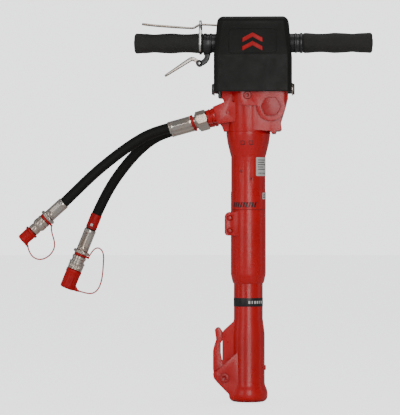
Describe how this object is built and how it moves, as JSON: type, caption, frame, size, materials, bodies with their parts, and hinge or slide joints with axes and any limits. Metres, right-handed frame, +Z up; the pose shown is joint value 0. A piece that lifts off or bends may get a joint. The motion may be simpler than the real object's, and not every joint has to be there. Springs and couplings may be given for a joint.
{
  "type": "hydraulic breaker hammer",
  "caption": "Hand-held hydraulic breaker with a T handle, throttle lever, hooded valve block, latch chuck for a hexagonal tool, and hose tails with capped quick couplers.",
  "frame": {"origin": "centre of the chuck's mouth, on the hammer's axis", "axes": "+Z up the hammer's axis towards the handle, -Y out of its front, +X towards the right-hand grip as seen from the front"},
  "size_m": [0.6402, 0.1181, 0.6989],
  "materials": {
    "red_paint": "gloss red enamel over a rough casting",
    "dark_red_paint": "gloss red enamel",
    "black_label": "satin",
    "tool_steel": "ground",
    "bright_steel": "satin",
    "zinc_plate": "bright zinc plate",
    "bronze": "machined",
    "seal_rubber": "matte",
    "spring_steel": "oiled",
    "white_label": "satin",
    "cast_iron": "as cast",
    "red_plastic": "satin",
    "hose_rubber": "matte with a wrapped surface",
    "black_steel": "satin black",
    "grip_rubber": "matte",
    "black_hood": "fine-grained satin"
  },
  "bodies": {
    "root": {"front_head": "red_paint", "neck_band": "black_label", "chuck_bushing": "tool_steel", "bushing_pin": "tool_steel", "latch_pin": "dark_red_paint", "lower_housing": "red_paint", "lug_bolts": "dark_red_paint", "lower_seal_bush": "bronze", "cylinder_liner": "tool_steel", "upper_guide_bush": "bronze", "housing_seal": "seal_rubber", "upper_housing": "red_paint", "housing_plugs": "dark_red_paint", "type_plate": "white_label", "valve_block": "red_paint", "front_plate": "red_paint", "block_screws": "dark_red_paint", "hex_plug": "dark_red_paint", "accumulator_diaphragm": "seal_rubber", "accumulator_cap": "cast_iron", "accumulator_screws": "bright_steel", "port_adapters": "red_paint", "hose_nuts": "zinc_plate", "hose_rings": "red_plastic", "hose_ferrules": "zinc_plate", "hose_1": "hose_rubber", "hose_2": "hose_rubber", "hose_marker": "red_plastic", "coupler_1": "zinc_plate", "coupler_2": "zinc_plate", "lanyard_rings": "red_plastic", "lanyard_1": "red_plastic", "lanyard_2": "red_plastic", "handle_bracket": "black_steel", "bracket_bolts": "black_steel", "bracket_bushes": "seal_rubber", "handle_bar": "bright_steel", "bar_collars": "grip_rubber", "grip_left": "grip_rubber", "grip_right": "grip_rubber", "cover": "black_hood", "badge": "red_plastic", "lever_pin": "bright_steel", "lever_guide": "bright_steel", "plunger_spring": "spring_steel", "trigger_bracket": "black_steel", "trigger_pin": "bright_steel", "trigger_spring": "spring_steel"},
    "latch": {"latch": "red_paint", "latch_pad": "seal_rubber"},
    "piston": {"piston": "tool_steel", "piston_rings": "tool_steel"},
    "valve_spool": {"valve_spool": "tool_steel"},
    "coupler_sleeve": {"coupler_sleeve": "zinc_plate"},
    "cap_1": {"cap_1": "red_plastic"},
    "cap_2": {"cap_2": "red_plastic", "plug_core": "seal_rubber"},
    "throttle_lever": {"throttle_lever": "zinc_plate"},
    "throttle_plunger": {"throttle_plunger": "bright_steel"},
    "safety_trigger": {"safety_trigger": "zinc_plate"}
  },
  "joints": [
    {"name": "throttle_hinge", "type": "hinge", "parent": "root", "child": "throttle_lever", "pos_m": [-0.005, 0, 0.681], "axis": [0, -1, 0], "range_deg": [0, 4.3], "stiffness_Nm_per_rad": 1.5, "springref_deg": -11.46},
    {"name": "plunger_slide", "type": "slide", "parent": "root", "child": "throttle_plunger", "axis": [0, 0, -1], "range_m": [0, 0.0023], "deforming": ["plunger_spring"]},
    {"name": "trigger_hinge", "type": "hinge", "parent": "root", "child": "safety_trigger", "pos_m": [-0.089, 0, 0.6154], "axis": [0, 1, 0], "range_deg": [0, 22], "stiffness_Nm_per_rad": 0.2, "springref_deg": -20.05},
    {"name": "latch_hinge", "type": "hinge", "parent": "root", "child": "latch", "pos_m": [-0.043, 0, 0.044], "axis": [0, -1, 0], "range_deg": [0, 45]},
    {"name": "piston_slide", "type": "slide", "parent": "root", "child": "piston", "axis": [0, 0, 1], "range_m": [0, 0.03]},
    {"name": "spool_slide", "type": "slide", "parent": "root", "child": "valve_spool", "axis": [0, 1, 0], "range_m": [0, 0.006]},
    {"name": "cap_1_pull", "type": "slide", "parent": "root", "child": "cap_1", "axis": [-0.7431, 0, -0.6691], "range_m": [0, 0.04]},
    {"name": "cap_2_pull", "type": "slide", "parent": "root", "child": "cap_2", "axis": [-0.3746, 0, -0.9272], "range_m": [0, 0.04]},
    {"name": "sleeve_slide", "type": "slide", "parent": "root", "child": "coupler_sleeve", "axis": [0.3746, 0, 0.9272], "range_m": [0, 0.005], "stiffness_N_per_m": 1500, "springref_m": -0.004}
  ],
  "couplings": [
    {"joint": "plunger_slide", "follows": "throttle_hinge", "m_per_rad": 0.03}
  ]
}
